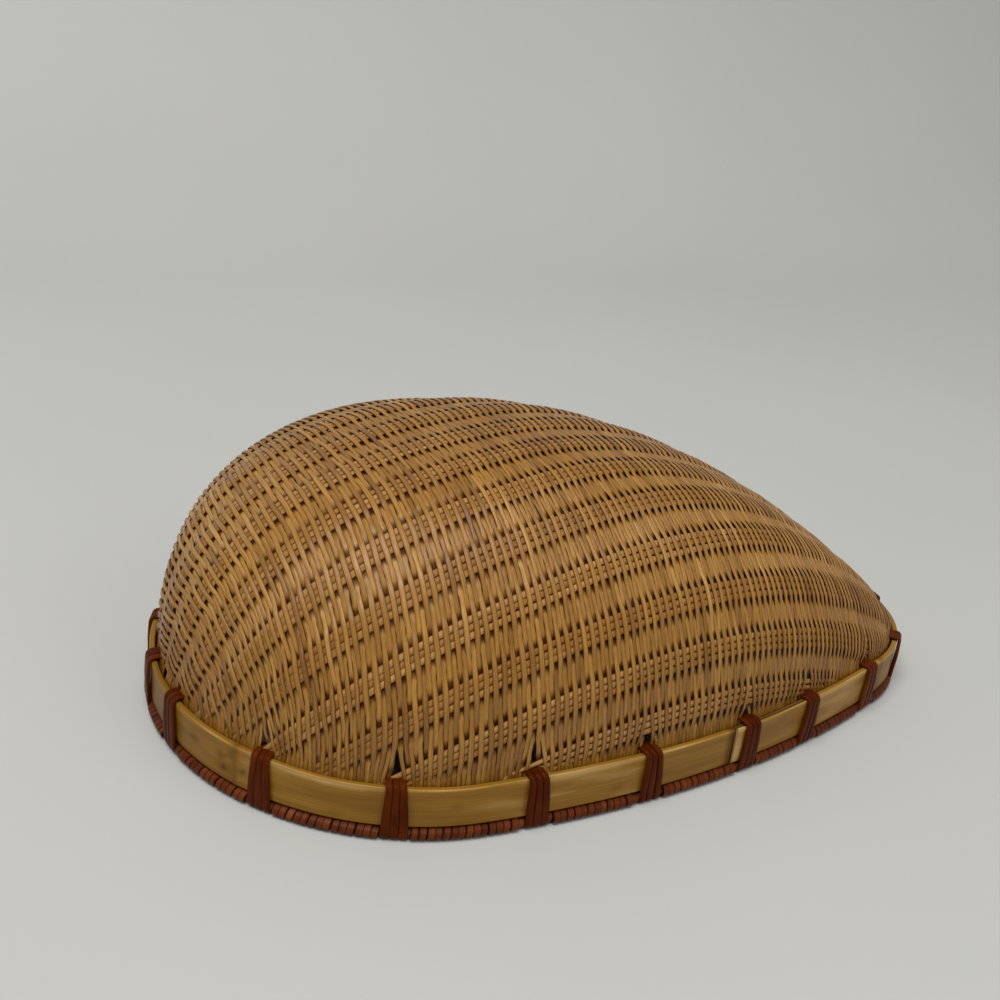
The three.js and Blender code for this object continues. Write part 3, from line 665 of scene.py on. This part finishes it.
def strandRings(index, x0):
    line = strandLines[index]
    count = len(line)
    step = weave["step"]
    normals = faceNormals(line)
    tangent, side, _ = lineFrame(line, normals)
    phase = ribPhase(line[:, 0], acrossOf(line[:, 0], line[:, 1]))
    phase = phase + weave["phaseDrift"] * slowWave(count, step, weave["phaseLength"])
    wave, wider, drawn, below = ribWave(phase, 1 if index % 2 else -1)
    rise = smoothStep(line[:, 2], hoopTop + weave["riseFrom"], hoopTop + weave["riseTo"])
    lift = wave * weave["lift"] * (weave["rimLift"] + (1 - weave["rimLift"]) * rise)
    lift = lift * (1 + weave["liftDrift"] * slowWave(count, step, weave["liftLength"]))
    wideShare = 1 - smoothStep(x0, wideCentre + weave["wideFrom"], wideCentre + weave["wideTo"])
    wander = weave["wander"] + (weave["wideWander"] - weave["wander"]) * wideShare
    wander = wander * slowWave(count, step, rng.uniform(*weave["wanderLengths"])) * rise
    push, crowd, near = lashingPush(line, tangent)
    line = line + normals * lift[:, None] + side * wander[:, None] + push
    width = np.clip(strandRoom(index, tangent), *weave["room"]) * rng.uniform(*weave["widths"])
    width *= 1 + weave["widthDrift"] * slowWave(count, step, weave["widthLength"])
    width *= 1 + wider * (1 + weave["tipWider"] * smoothStep(line[:, 0], weave["tipFrom"], weave["tipTo"]))
    width *= (1 - weave["crowdNarrow"] * crowd) * (1 - weave["rimNarrow"] * near)
    thickness = np.full(count, weave["thickness"] * rng.uniform(*weave["thicknesses"]))
    corner = weave["corner"] - drawn * np.where(below, weave["cornerUnder"], weave["cornerOver"])
    rings = flatRings(line, normals, width, thickness, corner)
    tones = np.repeat(strandTone(line), rings.shape[1])
    return rings, tones, strandShade(lift, drawn, below).ravel()


# a strand's tone varies at random, and is darker near the rim and on the crest
def strandTone(line):
    height = line[:, 2]
    tone = weave["tone"] + weave["toneSpread"] * np.clip(rng.normal(), -2, 2)
    tone = tone + weave["toneDrift"] * slowWave(len(line), weave["step"], weave["toneLength"])
    tone -= weave["rimDarker"] * (1 - smoothStep(height, weave["rimDarkFrom"], weave["rimDarkTo"]))
    tone -= weave["crestDarker"] * smoothStep(height, weave["crestDarkFrom"], weave["crestDarkTo"])
    return np.clip(tone, *weave["toneEnds"])


# painted shade where it lies under a rib, along its edges (most at the ribs), and on its inner face
def strandShade(lift, drawn, below):
    under = smoothStep(-lift / weave["lift"], weave["shadeFrom"], weave["shadeTo"])
    edge = weave["edgeShade"] + drawn * np.where(below, weave["edgeUnder"], weave["edgeOver"])
    onEdges = np.array([1, 0, 0, 1, 0, 0])
    onInside = np.array([0, 0, 0, 0, 1, 1])
    shade = weave["underShade"] * under[:, None] + edge[:, None] * onEdges + weave["insideShade"] * onInside
    return np.clip(shade, 0, weave["darkest"])


strandsPerPiece = len(strandPlaces) / len(weave["pieces"])
for part, name in enumerate(weave["pieces"]):
    chosen = range(int(round(part * strandsPerPiece)), int(round((part + 1) * strandsPerPiece)))
    made = [strandRings(i, strandPlaces[i]) for i in chosen]
    piece = makeTubes(name, *([m[k] for m in made] for k in range(3)))
    smoothPiece(piece, weave["smooth"])
    placePiece(piece, ["woven_skin"], weaveMaterial)
    print("weave", part, len(piece.data.polygons))

# hoops: split strips with pared, lapped and frayed ends, a paler top outer edge and a few nodes
# each spot has its place round the rim, its height, its size and its strength
outerHoop = {"outer": 1.7, "inner": 3.7, "lap": -147.0, "proud": 0.25, "nodes": [-325.0, -60.0, 205.0],
             "spots": [(-329, 9, 2.0, 0.9), (-331, 13.5, 1.4, 0.8), (-327, 15.5, 1.2, 0.7),
                       (-344, 13, 1.4, 0.6), (-322, 11, 0.9, 0.8), (-290, 7, 1.6, 0.3),
                       (-252, 12, 1.2, 0.3), (-196, 9, 1.5, 0.3), (-118, 13, 1.3, 0.35),
                       (-84, 8, 1.2, 0.3), (40, 9, 1.5, 0.4), (96, 14, 1.2, 0.3), (160, 8, 1.6, 0.35),
                       (222, 12, 1.3, 0.4), (300, 9, 1.5, 0.35), (352, 13, 1.3, 0.3)]}
innerHoop = {"outer": 5.7, "inner": 7.7, "lap": 262.0, "proud": 0.0, "nodes": [120.0, -240.0],
             "spots": [(60, 12, 1.5, 0.4), (-100, 10, 1.5, 0.4)]}
hoopShape = {"bottom": 4.8, "topGap": 0.15, "lapLength": 36.0, "slit": 0.45,
             "round": 0.55, "roundShare": 0.45,
             "step": 1.6, "startStep": 0.25, "startFine": 6, "lapStep": 0.35, "lapFine": (-7, 2),
             "tongueFrom": -1.4, "tongueTo": -0.4, "paredFrom": -1.0, "paredTo": 0.6,
             "bulgeFrom": 4.0, "bulgeTo": 14.0, "nodeLength": 2.2, "nodeHeight": 0.22, "nodeShade": 0.35,
             "uneven": ((0.22, 7, 1.0), (0.12, 19, 0.0)),   # height, waves round the rim, phase
             "cornerPoints": 4, "faceRows": 7, "fray": 0.08, "frayLength": 1.2, "spotStretch": 1.5,
             "lapShade": 0.75, "lapShadeFrom": -6.0, "lapShadeTo": -1.5, "darkest": 0.85,
             "paleFrom": 2.2, "paleTo": 3.6, "pale": 0.45, "paleGrain": 0.16,
             "edgePale": 0.22, "edgePoints": 3,
             "tone": 0.5, "toneWaves": ((0.12, 120.0, 2.57), (0.06, 17.0, 0.0)), "nodeDarker": 0.1,
             "smooth": 50}


def hoopRun():
    lap = 2 * halfRim
    run = np.arange(0, lap + hoopShape["lapLength"], hoopShape["step"])
    run = np.union1d(run, np.arange(0, hoopShape["startFine"], hoopShape["startStep"]))
    before, after = hoopShape["lapFine"]
    return np.union1d(run, np.arange(lap + before, lap + after, hoopShape["lapStep"]))   # finer at the lap


def hoopRings(hoop, run, ridge):
    lap = 2 * halfRim
    place = hoop["lap"] + run
    middle = (hoop["outer"] + hoop["inner"]) / 2
    tongue = smoothStep(run, lap + hoopShape["tongueFrom"], lap + hoopShape["tongueTo"])
    paredEnd = hoopShape["lapLength"]
    pared = 1 - smoothStep(run, paredEnd + hoopShape["paredFrom"], paredEnd + hoopShape["paredTo"])
    bulge = 1 - smoothStep(run, hoopShape["bulgeFrom"], hoopShape["bulgeTo"])
    outer = hoop["outer"] - hoop["proud"] * bulge + (middle + hoopShape["slit"] / 2 - hoop["outer"]) * tongue
    outer = outer - hoopShape["nodeHeight"] * ridge * (1 - tongue)
    inner = hoop["inner"] + (middle - hoopShape["slit"] / 2 - hoop["inner"]) * pared
    top = hoopTop - hoopShape["topGap"] + 0 * run
    for height, waves, phase in hoopShape["uneven"]:
        top = top + height * np.sin(place / halfRim * math.pi * waves + phase)
    bottom = hoopShape["bottom"] + 0 * run
    radius = np.minimum(hoopShape["round"], (inner - outer) * hoopShape["roundShare"])
    corners = []
    heights = []
    for outside, above, quarter in ((True, True, 0), (False, True, 1), (False, False, 2), (True, False, 3)):
        for k in range(hoopShape["cornerPoints"]):
            turn = math.pi / 2 * (quarter + k / (hoopShape["cornerPoints"] - 1))
            inset = (outer + radius if outside else inner - radius) - radius * math.cos(turn)
            z = (top - radius if above else bottom + radius) + radius * math.sin(turn)
            corners.append(rimPoint(place, inset, z))
            heights.append(z)
    for k in range(1, hoopShape["faceRows"]):   # rows up the outer face
        z = bottom + radius + (top - bottom - 2 * radius) * k / hoopShape["faceRows"]
        corners.append(rimPoint(place, outer, z))
        heights.append(z)
    return np.stack(corners, 1), np.stack(heights, 1)


def makeHoop(name, node, hoop):
    lap = 2 * halfRim
    run = hoopRun()
    place = hoop["lap"] + run
    ridge = np.zeros(len(run))
    for mark in hoop["nodes"]:
        ridge += np.exp(-(wrapDistance(place - mark) / hoopShape["nodeLength"])**2)
    rings, heights = hoopRings(hoop, run, ridge)
    fray = np.exp(-run / hoopShape["frayLength"])
    rings[:, :, :2] += rng.normal(0, hoopShape["fray"], rings.shape)[:, :, :2] * fray[:, None, None]
    spots = hoopShape["nodeShade"] * ridge[:, None]**4 * np.ones(rings.shape[:2])
    for mark, height, size, strength in hoop["spots"]:
        aside = wrapDistance(place - mark)[:, None] / hoopShape["spotStretch"]
        gap = np.hypot(aside, heights - height) / size
        spots += strength * np.exp(-gap**2) * rng.uniform(0.5, 1, rings.shape[:2])
    lapShade = smoothStep(run, lap + hoopShape["lapShadeFrom"], lap + hoopShape["lapShadeTo"])
    spots += hoopShape["lapShade"] * lapShade[:, None]   # shade in the gap beside the lapped end
    spots = np.clip(spots, 0, hoopShape["darkest"])
    paleEnd = 1 - smoothStep(run, hoopShape["paleFrom"], hoopShape["paleTo"])
    tone = hoopShape["tone"] + hoopShape["pale"] * paleEnd - hoopShape["nodeDarker"] * ridge
    for height, length, phase in hoopShape["toneWaves"]:
        tone = tone + height * np.sin(place / length + phase)
    edge = np.zeros(rings.shape[1])
    edge[:hoopShape["edgePoints"]] = hoopShape["edgePale"]
    paleGrain = hoopShape["paleGrain"] * paleEnd[:, None] * rng.normal(0, 1, rings.shape[:2])
    tones = np.clip(np.clip(tone, 0, 1)[:, None] + edge[None, :] + paleGrain, 0, 1)
    piece = makeTubes(name, [rings], [tones.ravel()], [spots.ravel()])
    smoothPiece(piece, hoopShape["smooth"])
    placePiece(piece, [node], hoopMaterial)


makeHoop("hoopOuter", "outer_hoop", outerHoop)
makeHoop("hoopInner", "inner_hoop", innerHoop)
print("hoops done")

# lip: a plain core under one long winding of flat cane, drawn in under each lashing
lip = {"middle": 4.4, "halfWidth": 4.0, "halfHeight": 1.85, "height": 2.25, "power": 2.6,
       "pitch": 2.45, "caneWidth": 2.36, "caneThickness": 0.7, "stepsPerTurn": 16,
       "section": [(1, 0.1), (0.78, 1), (-0.78, 1), (-1, 0.1), (-0.6, -1), (0.6, -1)],
       "shades": (0.55, 0.0, 0.0, 0.55, 0.6, 0.6), "unevenTurns": ((0.16, 0.9), (0.1, 2.3)),
       "neck": 0.85, "neckHeight": 0.8, "neckFrom": 4.6, "neckTo": 6.2,
       "tone": 0.42, "toneWave": 0.1, "toneLength": 23, "toneSpread": 0.1, "smooth": 48,
       "corePoints": 300, "coreSides": 12, "coreInset": 0.9, "coreTone": 0.3, "coreShade": 0.6,
       "coreSmooth": 60}


def lipOffset(turn, wide, high):
    c = np.cos(turn)
    s = np.sin(turn)
    size = (np.abs(c)**lip["power"] + np.abs(s)**lip["power"])**(-1 / lip["power"])
    return wide * c * size, high * s * size


def lipNeck(distance):
    neck = np.zeros(len(distance))
    for centre in lashingPlaces:
        away = np.abs(wrapDistance(distance - centre))
        neck = np.maximum(neck, 1 - smoothStep(away, lip["neckFrom"], lip["neckTo"]))
    return neck


turnsOfLip = int(round(2 * halfRim / lip["pitch"]))
steps = turnsOfLip * lip["stepsPerTurn"]
turn = np.arange(steps) / lip["stepsPerTurn"] * 2 * math.pi
even = np.arange(steps) / steps * 2 * halfRim
distance = even + sum(size * np.sin(even * rate) for size, rate in lip["unevenTurns"])
neck = lip["neck"] * lipNeck(distance)
rings = []
for along, out in lip["section"]:
    grow = out * lip["caneThickness"] / 2
    high = lip["halfHeight"] - lip["neckHeight"] * neck + grow
    across, up = lipOffset(turn, lip["halfWidth"] - neck + grow, high)
    height = np.maximum(lip["height"] + up, 0.0)
    rings.append(rimPoint(distance + along * lip["caneWidth"] / 2, lip["middle"] - across, height))
winding = np.stack(rings, 1)
turnTones = np.repeat(rng.normal(0, 1, turnsOfLip), lip["stepsPerTurn"])
tone = lip["tone"] + lip["toneWave"] * np.sin(distance / lip["toneLength"]) + lip["toneSpread"] * turnTones
tones = np.repeat(np.clip(tone, 0, 1), len(lip["section"]))
piece = makeTubes("lipWinding", [winding], [tones], [np.tile(lip["shades"], steps)], closed=True)
smoothPiece(piece, lip["smooth"])
placePiece(piece, ["lip"], lipMaterial)

coreDistance = np.linspace(0, 2 * halfRim, lip["corePoints"], endpoint=False)
coreRings = []
for coreTurn in np.linspace(0, 2 * math.pi, lip["coreSides"], endpoint=False):
    wide = lip["halfWidth"] - lip["coreInset"]
    high = lip["halfHeight"] - lip["coreInset"]
    across, up = lipOffset(coreTurn, wide, high)
    coreRings.append(rimPoint(coreDistance, lip["middle"] - across, lip["height"] + up))
core = np.stack(coreRings, 1)
corners = lip["corePoints"] * lip["coreSides"]
coreTones = np.full(corners, lip["coreTone"])
piece = makeTubes("lipCore", [core], [coreTones], [np.full(corners, lip["coreShade"])], closed=True)
smoothPiece(piece, lip["coreSmooth"])
placePiece(piece, ["lip"], lipMaterial)
print("lip done, turns", turnsOfLip)


# lashings, at the places chosen above: along the rim, in from its edge, and height
def lashingPath(pitch):
    outer, inner, top, bottom, corner = (lashing[k] for k in ("outer", "inner", "top", "bottom", "corner"))
    cut = corner * lashing["cornerCut"]
    slant = lashing["slant"] * pitch
    half = lashing["turns"] / 2
    path = [(-half * pitch, inner, lashing["startHeight"])]
    for k in range(lashing["turns"]):
        up = (k - half) * pitch
        down = up + pitch / 2
        after = up + pitch
        path += [(up, inner, top - corner),
                 (up + 2 * slant, inner - cut, top - cut),
                 (up + 3 * slant, inner - corner, top),
                 (down - 3 * slant, outer + corner, top),
                 (down - slant, outer + cut, top - cut),
                 (down, outer, top - corner),
                 (down, outer - lashing["waist"], lashing["waistHeight"]),
                 (down, outer, bottom + corner),
                 (down, outer + cut, bottom + cut),
                 (down + 2 * slant, outer + corner, bottom),
                 (after - 2 * slant, inner - corner, bottom),
                 (after, inner - cut, bottom + cut),
                 (after, inner, bottom + corner)]
    path.append((half * pitch, inner, lashing["endHeight"]))
    return np.array(path)


def lashingRings(centre):
    path = resample(lashingPath(lashing["pitch"] * rng.uniform(*lashing["pitches"])), lashing["step"])
    for _ in range(2):   # rounds the corners
        path[1:-1] = (path[:-2] + 2 * path[1:-1] + path[2:]) / 4
    along, inset, z = path.T
    gather = 1 - (1 - lashing["gather"]) * smoothStep(z, lashing["gatherFrom"], lashing["gatherTo"])
    lean = rng.uniform(-lashing["lean"], lashing["lean"]) * (z - lashing["leanHeight"])
    sway = np.arange(len(along)) * lashing["swayRate"] + rng.uniform(0, lashing["swayPhase"])
    along = along * gather + lean + lashing["sway"] * np.sin(sway)
    heading = np.stack([np.gradient(inset), np.gradient(z)], 1)
    heading /= np.linalg.norm(heading, axis=1, keepdims=True)
    width = lashing["width"] * rng.uniform(*lashing["widths"]) * gather
    rings = []
    for b, out in lashing["section"]:
        grow = out * lashing["thickness"] / 2
        place = centre + along + b * width / 2
        rings.append(rimPoint(place, inset - heading[:, 1] * grow, z + heading[:, 0] * grow))
    return np.stack(rings, 1)


for number, centre in enumerate(lashingPlaces):
    rings = lashingRings(float(centre))
    count = len(rings)
    tone = rng.uniform(*lashing["tones"])
    tone = tone + lashing["toneDrift"] * slowWave(count, lashing["step"], lashing["driftLength"])
    tones = np.repeat(np.clip(tone, 0, 1), len(lashing["section"]))
    depths = np.tile(lashing["shades"], count)
    piece = makeTubes("lashing%02d" % (number + 1), [rings], [tones], [depths])
    smoothPiece(piece, lashing["smooth"])
    placePiece(piece, ["lashing_%02d" % (number + 1)], caneMaterial)
print("lashings done")

# floor and backdrop in metres
stage = {"front": -2.0, "back": 0.9, "bend": 0.35, "bendSteps": 12, "reach": 2.2, "height": 1.6, "smooth": 40,
         "rough": 0.6, "mottleScale": 3.0, "colours": ((188, 188, 183), (196, 196, 192))}
profile = [(stage["front"], 0.0)]
for k in range(stage["bendSteps"] + 1):
    turn = math.pi / 2 * k / stage["bendSteps"]
    y = stage["back"] - stage["bend"] + stage["bend"] * math.sin(turn)
    profile.append((y, stage["bend"] - stage["bend"] * math.cos(turn)))
profile.append((stage["back"], stage["height"]))
corners = [(side * stage["reach"], y, z) for y, z in profile for side in (-1, 1)]
strips = [(2 * i, 2 * i + 1, 2 * i + 3, 2 * i + 2) for i in range(len(profile) - 1)]
floorMesh = bpy.data.meshes.new("floor")
floorMesh.from_pydata(corners, [], strips)
floor = bpy.data.objects.new("floor", floorMesh)
bpy.context.scene.collection.objects.link(floor)
smoothPiece(floor, stage["smooth"])
floorMaterial = bpy.data.materials.new("paleTable")
floorMaterial.use_nodes = True
floorTree = floorMaterial.node_tree
floorShader = floorTree.nodes["Principled BSDF"]
floorShader.inputs["Roughness"].default_value = stage["rough"]
floorPlace = addNode(floorTree, "ShaderNodeTexCoord")
floorNoise = addNode(floorTree, "ShaderNodeTexNoise")
floorNoise.inputs["Scale"].default_value = stage["mottleScale"]
floorTree.links.new(floorPlace.outputs["Object"], floorNoise.inputs["Vector"])
floorColour = addRamp(floorTree, floorNoise.outputs["Fac"], list(enumerate(stage["colours"])))
floorTree.links.new(floorColour, floorShader.inputs["Base Color"])
floor.data.materials.append(floorMaterial)

# soft light from above, more from the left; each lamp has its place, its size and its power
light = {"colour": (1.0, 0.99, 0.97, 1), "strength": 0.3, "aim": (0, 0, 0.04),
         "lamps": {"keyLamp": ((-0.64, -0.6, 2.0), (1.4, 1.4), 37.0),
                   "fillLamp": ((0.9, -1.2, 1.2), (1.2, 1.2), 5.0)}}
world = bpy.data.worlds.new("studio")
bpy.context.scene.world = world
world.use_nodes = True
background = world.node_tree.nodes["Background"]
background.inputs["Color"].default_value = light["colour"]
background.inputs["Strength"].default_value = light["strength"]
for name, (spot, size, power) in light["lamps"].items():
    data = bpy.data.lights.new(name, "AREA")
    data.shape = "RECTANGLE"
    data.size, data.size_y = size
    data.energy = power
    lamp = bpy.data.objects.new(name, data)
    bpy.context.scene.collection.objects.link(lamp)
    back = np.array(spot) - np.array(light["aim"])
    back /= np.linalg.norm(back)
    right = np.cross([0, 0, 1], back)
    right /= np.linalg.norm(right)
    up = np.cross(back, right)
    lamp.matrix_world = Matrix.Translation(spot) @ Matrix(np.stack([right, up, back], 1).tolist()).to_4x4()

# camera at the photograph's place
view = {"place": (-0.185088, -0.370712, 0.250839), "right": (0.9327987, -0.3422598, 0.1128927),
        "up": (0.0445994, 0.4204617, 0.9062135), "forward": (0.3576275, 0.8402798, -0.4074707),
        "lens": 45.0, "sensor": 36.0, "nearest": 0.01}
cameraData = bpy.data.cameras.new("camera")
cameraData.lens = view["lens"]
cameraData.sensor_width = view["sensor"]
cameraData.clip_start = view["nearest"]
camera = bpy.data.objects.new("camera", cameraData)
bpy.context.scene.collection.objects.link(camera)
axes = np.stack([view["right"], view["up"], -np.array(view["forward"])], 1)
camera.matrix_world = Matrix.Translation(view["place"]) @ Matrix(axes.tolist()).to_4x4()
bpy.context.scene.camera = camera
bpy.context.scene.view_settings.view_transform = "Standard"
